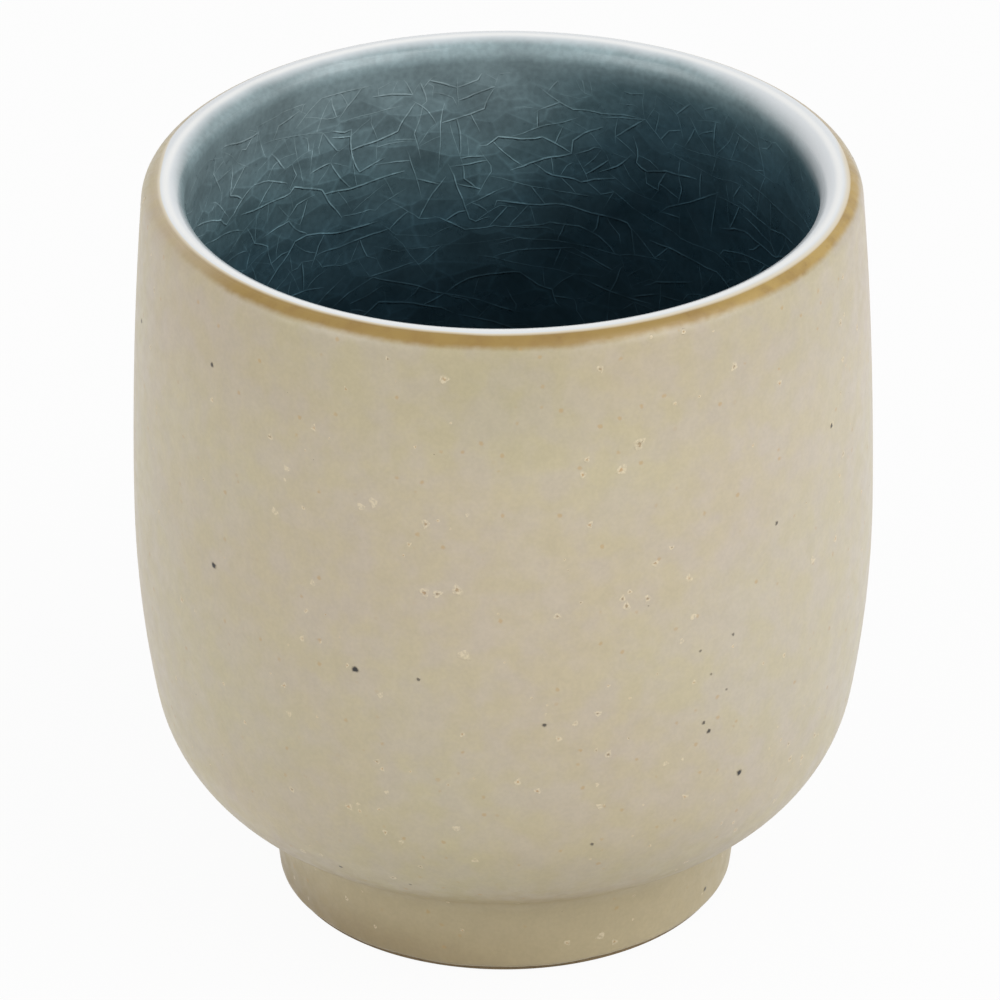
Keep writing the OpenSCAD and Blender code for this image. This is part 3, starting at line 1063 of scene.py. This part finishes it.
def points_on_coat(places):
    """Loose points on the cream glaze, from turns in degrees, heights and radii in millimetres."""
    front = cup_profile().outer_front()
    heights = np.array([p.y for p in reversed(front)])
    radii = np.array([p.x for p in reversed(front)])
    spots, facings, sizes = [], [], []
    for turn, height, size in places:
        step = 0.1
        around = np.interp([(height - step) * MM, height * MM, (height + step) * MM], heights, radii)
        slope = (around[2] - around[0]) / (2 * step * MM)
        east, north = math.sin(math.radians(turn)), -math.cos(math.radians(turn))
        spots.append((around[1] * east, around[1] * north, height * MM))
        facings.append(Vector((east, north, -slope)).normalized())
        sizes.append(size * MM)
    return marked_mesh("marked_places", spots, facing=facings, size=sizes)


# Iron specks that stand out: turn from the front in degrees, height and radius in millimetres
IRON_PLACES = [
    (-51, 57.5, 0.30), (-50, 39.5, 0.40), (-23, 34.5, 0.42), (-13, 34.5, 0.24), (61, 49.5, 0.30),
    (46, 44, 0.26), (37, 35.5, 0.22), (31, 35, 0.20), (33, 32.5, 0.18), (36, 30.5, 0.18), (32, 28, 0.26),
    (33, 27, 0.30), (40, 21.5, 0.40), (6, 30.5, 0.28), (14, 18, 0.24), (-30, 13, 0.26), (-17, 12.5, 0.20),
    (60, 2.5, 0.30), (118, 44, 0.38), (140, 26, 0.30), (171, 52, 0.32), (196, 31, 0.40), (214, 18, 0.27),
    (237, 47, 0.35), (262, 24, 0.24), (282, 55, 0.30),
]

# Pits that stand out, given the same way
PIT_PLACES = [
    (-9, 61.5, 0.54), (-30, 55.5, 0.41), (-38, 53.5, 0.41), (-37, 47, 0.47), (-22, 49.5, 0.47),
    (-20, 50, 0.54), (-12, 42.5, 0.57), (-10, 42.5, 0.51), (-7, 43, 0.62), (-6, 37, 0.65), (21, 55, 0.68),
    (18, 53, 0.62), (12, 53, 0.41), (29, 42, 0.47), (22, 41, 0.43), (15, 62, 0.41), (38, 59.5, 0.47),
    (13, 48.5, 0.41), (8, 40.5, 0.41), (16, 27, 0.47), (2, 25, 0.43), (5, 24, 0.41), (-19, 32.5, 0.36),
    (-20, 26, 0.36), (-17, 18, 0.36), (-35, 28.5, 0.36), (95, 51, 0.62), (128, 36, 0.54), (163, 44, 0.62),
    (184, 23, 0.51), (205, 53, 0.57), (229, 38, 0.54), (251, 29, 0.47), (275, 46, 0.62),
]


class CrackNet:
    """Cracks that grow over a flat sheet, in millimetres, until they meet another crack or its edge."""

    # Length of a step, width of a search cell, and the spread and chance of a kink
    STEP = 0.65
    CELL = 1.5
    KINK = 0.55
    KINK_CHANCE = 0.15

    def __init__(self, inside, wrap, seed):
        self.inside = inside
        self.wrap = wrap
        self.rng = random.Random(seed)
        self.lines = []
        self.cells = {}

    def offset(self, x):
        """A sideways distance, taken the short way round where the sheet wraps."""
        return (x + self.wrap / 2) % self.wrap - self.wrap / 2 if self.wrap else x

    def cell(self, x, y):
        return int((x % self.wrap if self.wrap else x) // self.CELL), int(y // self.CELL)

    def near(self, x, y):
        """Steps of other cracks close to a spot, each as its start and its span, seen from the spot."""
        spots = {self.cell(x + i * self.CELL, y + j * self.CELL) for i in (-1, 0, 1) for j in (-1, 0, 1)}
        for spot in sorted(spots):
            for ax, ay, dx, dy in self.cells.get(spot, ()):
                yield self.offset(ax - x), ay - y, dx, dy

    def crossing(self, x, y, step_x, step_y):
        """Share of a step at which it first meets a crack, or None."""
        first = None
        for ax, ay, dx, dy in self.near(x, y):
            turned = step_x * dy - step_y * dx
            if abs(turned) < 1e-12:
                continue
            share = (ax * dy - ay * dx) / turned
            along = (ax * step_y - ay * step_x) / turned
            if 1e-6 < share <= 1.0 and 0.0 <= along <= 1.0 and (first is None or share < first):
                first = share
        return first

    def grow(self, start, heading, reach, bend, pull):
        """Points of a crack from a start, kept near its heading by the pull."""
        points = [start]
        now = heading
        for _ in range(int(reach / self.STEP)):
            kink = self.rng.gauss(0.0, self.KINK) if self.rng.random() < self.KINK_CHANCE else 0.0
            now += self.rng.gauss(0.0, bend) + kink + (heading - now) * pull
            x, y = points[-1]
            step_x, step_y = self.STEP * math.cos(now), self.STEP * math.sin(now)
            share = self.crossing(x, y, step_x, step_y)
            if share is not None:
                points.append((x + step_x * share, y + step_y * share))
                break
            if not self.inside(x + step_x, y + step_y):
                break
            points.append((x + step_x, y + step_y))
        return points

    def keep(self, points):
        """Adds a crack to what later ones can meet."""
        if len(points) < 4:
            return
        self.lines.append(points)
        for (ax, ay), (bx, by) in zip(points, points[1:]):
            self.cells.setdefault(self.cell(ax, ay), []).append((ax, ay, bx - ax, by - ay))

    def clear_of(self, x, y, distance):
        """Whether no crack has a step within that distance of a spot."""
        return all(math.hypot(ax, ay) > distance for ax, ay, _, _ in self.near(x, y))

    def seed_long(self, start, heading, reach, room):
        """A long crack that grows both ways from a start, if there is room for it."""
        if self.clear_of(*start, room):
            ahead = self.grow(start, heading, reach, bend=0.08, pull=0.10)
            behind = self.grow(start, heading + math.pi, reach, bend=0.08, pull=0.10)
            self.keep(behind[:0:-1] + ahead)

    def branch(self, reach, room):
        """A crack that leaves another one at a steep angle, if there is room for it."""
        line = self.rng.choice(self.lines)
        at = self.rng.randrange(1, len(line) - 1)
        along = math.atan2(line[at + 1][1] - line[at - 1][1], line[at + 1][0] - line[at - 1][0])
        side = self.rng.choice((-1.0, 1.0))
        heading = along + side * (QUARTER_TURN + self.rng.gauss(0.0, 0.55))
        east, north = math.cos(heading), math.sin(heading)
        x, y = line[at]
        if self.clear_of(x + east * room * 1.5, y + north * room * 1.5, room):
            # A start just off the other crack doesn't meet it at once
            off = 0.02
            start = (x + east * off, y + north * off)
            self.keep([(x, y)] + self.grow(start, heading, reach, bend=0.09, pull=0.05))

    def girths(self, line):
        """Thickness of a crack along its points: its own share of the full one, less at its ends."""
        own = self.rng.uniform(0.55, 1.0)
        last = len(line) - 1
        return [own * min(1.0, 0.6 + 0.2 * min(i, last - i)) for i in range(last + 1)]


def wall_cracks(marks, width, bottom):
    """Net of the unrolled inside wall: distance round it and depth below the crest."""
    top = marks.crack_top / MM
    net = CrackNet(lambda x, y: top < y < bottom, width, marks.seed)
    rows = int((bottom - top) / marks.crack_gap * MM)
    across = int(width / marks.crack_run * MM)
    starts = [(i, j) for j in range(rows) for i in range(across)]
    net.rng.shuffle(starts)
    for i, j in starts:
        x = (i + net.rng.random()) * width / across
        y = top + (j + net.rng.random()) * (bottom - top) / rows
        # Near the lip most cracks run up and down, and lower down most of them run round
        steep = net.rng.random() < max(0.25, 1.0 - (y - top) / 9.0)
        heading = net.rng.gauss(QUARTER_TURN, 0.5) if steep else net.rng.gauss(0.0, 0.22)
        reach = net.rng.uniform(1.5, 4.0) if steep else net.rng.uniform(3.0, 9.0)
        net.seed_long((x, y), heading, reach, room=1.1)
    for _ in range(marks.cross_cracks):
        net.branch(net.rng.uniform(2.0, 8.0), room=0.68)
    return net


def floor_cracks(marks, radius):
    """Net of the flat floor, with no wrap and no chosen direction."""
    net = CrackNet(lambda x, y: math.hypot(x, y) < radius, 0.0, marks.seed + 1)
    long_tries = 60
    for _ in range(long_tries):
        turn = net.rng.uniform(0.0, FULL_TURN)
        out = radius * math.sqrt(net.rng.random())
        start = (out * math.cos(turn), out * math.sin(turn))
        net.seed_long(start, net.rng.uniform(0.0, FULL_TURN), 2 * radius, room=1.6)
    for _ in range(marks.cross_cracks // 10):
        net.branch(net.rng.uniform(2.5, 7.0), room=0.75)
    return net


def crack_mesh():
    """Every crack as a chain of edges near the face of the lining, with what its ridge needs to know."""
    marks = bpy.context.scene.cup_marks
    profile = cup_profile()
    front = profile.lining_front()
    depths = -np.array(runs_along(front, profile.lining_run(), -1))
    radii = np.array([p.x for p in front])
    heights = np.array([p.y for p in front])
    lean_r, lean_z = np.gradient(radii, depths), np.gradient(heights, depths)
    # The wall's sheet is unrolled at its widest, and ends where the pool begins
    wide = radii.max() / MM
    floor_r = 0.0178
    # The search for that end starts about where the wall is widest
    lower = slice(len(radii) // 3, None)
    bottom = float(np.interp(-floor_r, -radii[lower], depths[lower]))
    points, edges, runs, facings, girths = [], [], [], [], []

    def lay(line, its_runs, its_facings, its_girths):
        start = len(points)
        points.extend(line)
        edges.extend((start + i, start + i + 1) for i in range(len(line) - 1))
        runs.extend(its_runs)
        facings.extend(its_facings)
        girths.extend(its_girths)

    def on_wall(u, depth):
        """Place on the wall and the direction that it faces there."""
        r, z = np.interp(depth, depths, radii), np.interp(depth, depths, heights)
        face = Vector((np.interp(depth, depths, lean_z), -np.interp(depth, depths, lean_r))).normalized()
        east, north = math.cos(u / wide), math.sin(u / wide)
        return (r * east, r * north, z), (face.x * east, face.x * north, face.y)

    wall = wall_cracks(marks, FULL_TURN * wide, bottom)
    for line in wall.lines:
        eastward = line if line[-1][0] > line[0][0] else line[::-1]
        places, faces = zip(*(on_wall(u, depth) for u, depth in eastward))
        lay(places, [-depth for _, depth in eastward], faces, wall.girths(eastward))
    floor = floor_cracks(marks, floor_r / MM)
    for line in floor.lines:
        lay([(x * MM, y * MM, profile.pool_z) for x, y in line], [-FLOOR_DEPTH] * len(line),
            [(0.0, 0.0, 1.0)] * len(line), floor.girths(line))
    return marked_mesh("crack_paths", points, edges, run=runs, girth=girths, facing=facings)


def crack_tree():
    """Lays every chain of edges on the lining and gives it the section of a low ridge."""
    tree = Tree("Healed cracks", Coat='Object', Width='Float', Height='Float', Depth='Float',
                Material='Material')
    facing = tree.stored("facing", 'FLOAT_VECTOR')
    sink = tree.add('ShaderNodeVectorMath', {'Vector': facing, 'Scale': -tree.given('Depth')},
                    operation='SCALE')
    laid = tree.add('GeometryNodeSetPosition', {'Geometry': seat_on_coat(tree, tree.given('Geometry')),
                                                'Offset': sink})
    paths = tree.add('GeometryNodeMeshToCurve', {'Mesh': laid})
    upright = tree.add('GeometryNodeSetCurveNormal', {'Curve': paths, 'Normal': facing}, mode='FREE')
    circle = tree.add('GeometryNodeCurvePrimitiveCircle', {'Resolution': 4, 'Radius': 1.0}, mode='RADIUS')
    side = tree.part(tree.add('GeometryNodeInputPosition'), 'Y')
    marked = tree.store(circle, "across", side)
    flat = tree.join(tree.given('Height'), tree.given('Width') / 2, 1.0)
    section = tree.add('GeometryNodeTransform', {'Geometry': marked, 'Scale': flat})
    ribs = tree.add('GeometryNodeCurveToMesh', {'Curve': upright, 'Profile Curve': section,
                                                'Scale': tree.stored("girth"), 'Fill Caps': True})
    return tree.finish(ribs)


class CUP_OT_outer_glaze(bpy.types.Operator):
    """Cream glaze on the bowl and the foot"""
    bl_idname = "cup.outer_glaze"
    bl_label = "Outer Glaze"

    def execute(self, context):
        profile = cup_profile()
        points = profile.film(profile.outer_front(), profile.outer_back(), profile.band_low_run(), 1)
        settle(throw("cream_coat", points, cream_material()), "cream_glaze", "outer_glaze")
        return {'FINISHED'}


class CUP_OT_rim_band(bpy.types.Operator):
    """Toasted band on the outer shoulder of the lip"""
    bl_idname = "cup.rim_band"
    bl_label = "Rim Band"

    def execute(self, context):
        profile = cup_profile()
        low, high = context.scene.cup_shape.band_low, context.scene.cup_shape.band_high
        front = profile.lip_arc(profile.glazed_lip, high, low, profile.LIP_STEP)
        back = profile.lip_arc(profile.clay_lip, high, low, profile.LIP_STEP)
        points = profile.film(front, back, profile.band_high_run(), 1)
        settle(throw("toasted_band", points, toasted_material()), "toasted_glaze", "rim_band")
        return {'FINISHED'}


class CUP_OT_lip_glaze(bpy.types.Operator):
    """Pale glossy glaze over the lip"""
    bl_idname = "cup.lip_glaze"
    bl_label = "Lip Glaze"

    def execute(self, context):
        profile = cup_profile()
        back = profile.lip_line(profile.clay_lip, profile.clay_in, profile.LIP_STEP * 2, profile.LIP_STEP * 3)
        points = profile.film(profile.lip_front(), back, profile.band_high_run(), -1)
        settle(throw("pale_lip", points, pale_material()), "pale_glaze", "lip_glaze")
        return {'FINISHED'}


class CUP_OT_crackle_lining(bpy.types.Operator):
    """Blue-grey lining, pooled on the floor"""
    bl_idname = "cup.crackle_lining"
    bl_label = "Crackle Lining"

    def execute(self, context):
        profile = cup_profile()
        points = profile.film(profile.lining_front(), profile.lining_back(), profile.lining_run(), -1)
        settle(throw("crackle_coat", points, crackle_material()), "crackle_glaze", "crackle_lining")
        return {'FINISHED'}


class CUP_OT_base_glaze(bpy.types.Operator):
    """Cream glaze inside the foot's hollow"""
    bl_idname = "cup.base_glaze"
    bl_label = "Base Glaze"

    def execute(self, context):
        shape = context.scene.cup_shape
        profile = cup_profile()
        cove_r = profile.hollow_r - shape.hollow_cove
        cove = Vector((cove_r, profile.under_z(cove_r, -shape.hollow_cove)))
        clay_r = profile.hollow_r + shape.coat_t
        steps = 6
        roof_steps = 12
        turns = [QUARTER_TURN * i / steps for i in range(steps + 1)]
        bead = [Vector((clay_r - shape.coat_t * math.sin(a),
                        shape.foot_bare + profile.BEAD * (1 - math.cos(a)))) for a in turns]
        roof = [Vector((cove_r * (1 - i / roof_steps), shape.foot_h)) for i in range(roof_steps + 1)]
        low = bead[-1].y
        rise = [Vector((profile.hollow_r, low + (cove.y - low) * i / steps)) for i in range(steps + 1)]
        front = chain(bead, rise, arc(cove, shape.hollow_cove, 0.0, QUARTER_TURN, profile.EDGE_STEP), roof)
        back = [Vector((clay_r, shape.foot_h + shape.coat_t)), Vector((0.0, shape.foot_h + shape.coat_t))]
        points = profile.film(front, back, FAR_RUN, 1)
        settle(throw("hollow_coat", points, cream_material()), "cream_glaze", "base_glaze")
        return {'FINISHED'}


class CUP_OT_foot_ring(bpy.types.Operator):
    """Stoneware ring that the cup stands on"""
    bl_idname = "cup.foot_ring"
    bl_label = "Foot Ring"

    def execute(self, context):
        shape = context.scene.cup_shape
        profile = cup_profile()
        clay_r = profile.hollow_r + shape.coat_t
        seat = shape.coat_t / 4
        edge = shape.foot_edge
        corner = profile.foot_meets(shape.coat_t, shape.belly_arc - seat)
        steps = 8
        radii = [corner.x + (clay_r - corner.x) * i / steps for i in range(steps + 1)]
        line = chain(arc(Vector((clay_r + edge, edge)), edge, math.pi, 1.5 * math.pi, profile.EDGE_STEP),
                     arc(profile.foot_side(shape.coat_t + edge, edge), edge, -QUARTER_TURN, -shape.foot_lean,
                         profile.EDGE_STEP),
                     [Vector((r, profile.under_z(r, seat))) for r in radii])
        points = [(p.x, p.y, FAR_RUN, 0.0) for p in line]
        settle(throw("foot_clay", points, clay_material("foot_clay")), "clay", "foot_ring")
        return {'FINISHED'}


class CUP_OT_inner_clay(bpy.types.Operator):
    """Clay of the bowl and of the slip joint, under the glazes"""
    bl_idname = "cup.inner_clay"
    bl_label = "Inner Clay"

    def execute(self, context):
        material = clay_material("bowl_clay")
        for name in ("bowl", "slip_joint"):
            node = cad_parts[name]
            if not node.material_slots:
                node.data.materials.append(material)
            for place in node.material_slots:
                place.material = material
        return {'FINISHED'}


class CUP_OT_crackle_lines(bpy.types.Operator):
    """Healed cracks in the lining"""
    bl_idname = "cup.crackle_lines"
    bl_label = "Crackle Lines"

    def execute(self, context):
        marks = context.scene.cup_marks
        piece = plain_mesh("crackle_lines", crack_mesh(), crack_tree(), Coat=bpy.data.objects["crackle_coat"],
                           Width=marks.crack_w, Height=marks.crack_h, Depth=marks.crack_sunk,
                           Material=crack_material())
        piece.data.shade_smooth()
        settle(piece, "crackle_glaze")
        return {'FINISHED'}


class CUP_OT_glaze_marks(bpy.types.Operator):
    """Iron specks and pinholes in the cream glaze"""
    bl_idname = "cup.glaze_marks"
    bl_label = "Glaze Marks"

    def execute(self, context):
        marks = context.scene.cup_marks
        coat = bpy.data.objects["cream_coat"]
        seed = marks.seed
        pit = {"Mark": mark_mesh("pit_stamp", PIT_RINGS, ragged=0.36, seed=3), "Material": pit_material()}
        iron = {"Mark": mark_mesh("iron_stamp", SPECK_RINGS, ragged=0.22, seed=5),
                "Material": iron_material()}
        pieces = [
            plain_mesh("pits_strewn", coat.data.copy(), strew_tree(), Density=marks.pit_density,
                       Smallest=marks.pit_small, Largest=marks.pit_large, Seed=seed, **pit),
            plain_mesh("flecks_strewn", coat.data.copy(), strew_tree(), Density=marks.fleck_density,
                       Smallest=marks.fleck_small, Largest=marks.fleck_large, Seed=seed + 20, **iron),
            plain_mesh("pits_set", points_on_coat(PIT_PLACES), set_tree(), Coat=coat, Seed=seed, **pit),
            plain_mesh("specks_set", points_on_coat(IRON_PLACES), set_tree(), Coat=coat, Seed=seed, **iron),
        ]
        for kind in (pit, iron):
            bpy.data.objects.remove(kind["Mark"])
        for piece in pieces:
            piece.data.shade_smooth()
            settle(piece, "cream_glaze")
        return {'FINISHED'}


def floor_material(white):
    """Pale floor that keeps a faint shadow and shows as white to the camera and in reflections."""
    board = Shader("pale_floor")
    matt = board.add('ShaderNodeBsdfDiffuse', {'Color': FLOOR_GREY})
    glow = board.add('ShaderNodeEmission', {'Color': WHITE, 'Strength': 1.0})
    surface = board.add('ShaderNodeMixShader', (board.seen() * white, matt, glow))
    board.add('ShaderNodeOutputMaterial', {'Surface': surface})
    return board.material


def light_world(sky):
    """Even light from all round, which shows as white."""
    world = bpy.data.worlds.new("studio")
    world.use_nodes = True
    world.node_tree.nodes.clear()
    board = Board(world.node_tree)
    strength = board.seen() * (1 - sky) + sky
    glow = board.add('ShaderNodeBackground', {'Color': WHITE, 'Strength': strength})
    board.add('ShaderNodeOutputWorld', {'Surface': glow})
    bpy.context.scene.world = world


def soft_lamp(name, power, place, size):
    """A square lamp that faces the cup."""
    lamp = bpy.data.lights.new(name, 'AREA')
    lamp.energy = power
    lamp.size = size
    holder = put_in_scene(name, lamp)
    holder.location = place
    holder.rotation_euler = (-Vector(place)).to_track_quat('-Z', 'Y').to_euler()


class CUP_OT_stage(bpy.types.Operator):
    """Floor, light and camera"""
    bl_idname = "cup.stage"
    bl_label = "Stage"

    def execute(self, context):
        stage = context.scene.cup_stage
        corners = [(x * FLOOR_REACH, y * FLOOR_REACH, 0.0) for x, y in ((-1, -1), (1, -1), (1, 1), (-1, 1))]
        mesh = marked_mesh("floor", corners, faces=[(0, 1, 2, 3)])
        mesh.materials.append(floor_material(stage.floor_white))
        floor = put_in_scene("floor", mesh)
        light_world(stage.sky)
        soft_lamp("key", stage.key_power, KEY_PLACE, KEY_SIZE)
        soft_lamp("fill", stage.fill_power, FILL_PLACE, FILL_SIZE)
        camera = bpy.data.cameras.new("camera")
        camera.lens = stage.lens
        camera.sensor_width = 36.0
        camera.shift_x = stage.shift
        holder = put_in_scene("camera", camera)
        back = Vector((0.0, -math.cos(stage.elevation), math.sin(stage.elevation)))
        place = Vector((0.0, 0.0, stage.aim_z)) + back * stage.distance
        tilt = Matrix.Rotation(QUARTER_TURN - stage.elevation, 4, 'X') @ Matrix.Rotation(stage.roll, 4, 'Z')
        holder.matrix_world = Matrix.Translation(place) @ tilt
        context.scene.camera = holder
        context.scene.view_settings.view_transform = 'Standard'
        return {'FINISHED'}


OPERATORS = (CUP_OT_outer_glaze, CUP_OT_rim_band, CUP_OT_lip_glaze, CUP_OT_crackle_lining, CUP_OT_base_glaze,
             CUP_OT_foot_ring, CUP_OT_inner_clay, CUP_OT_crackle_lines, CUP_OT_glaze_marks, CUP_OT_stage)


class CUP_PT_parts(bpy.types.Panel):
    """Lists the cup's sizes, colours and operators"""
    bl_label = "Espresso Cup"
    bl_idname = "CUP_PT_parts"
    bl_space_type = 'VIEW_3D'
    bl_region_type = 'UI'
    bl_category = "Cup"

    def draw(self, context):
        for name in GROUPS:
            group = getattr(context.scene, name)
            box = self.layout.box()
            for key in group.__annotations__:
                box.prop(group, key)
        for operator in OPERATORS:
            self.layout.operator(operator.bl_idname)


GROUPS = {"cup_shape": CupShape, "cup_glaze": CupGlaze, "cup_marks": CupMarks, "cup_stage": CupStage}


def register():
    for name, group in GROUPS.items():
        bpy.utils.register_class(group)
        setattr(bpy.types.Scene, name, bpy.props.PointerProperty(type=group))
    for cls in (*OPERATORS, CUP_PT_parts):
        bpy.utils.register_class(cls)


def unregister():
    for cls in (CUP_PT_parts, *reversed(OPERATORS)):
        bpy.utils.unregister_class(cls)
    for name, group in reversed(GROUPS.items()):
        delattr(bpy.types.Scene, name)
        bpy.utils.unregister_class(group)


def main():
    register()
    for operator in OPERATORS:
        family, verb = operator.bl_idname.split(".")
        getattr(getattr(bpy.ops, family), verb)()


if __name__ == "__main__":
    main()
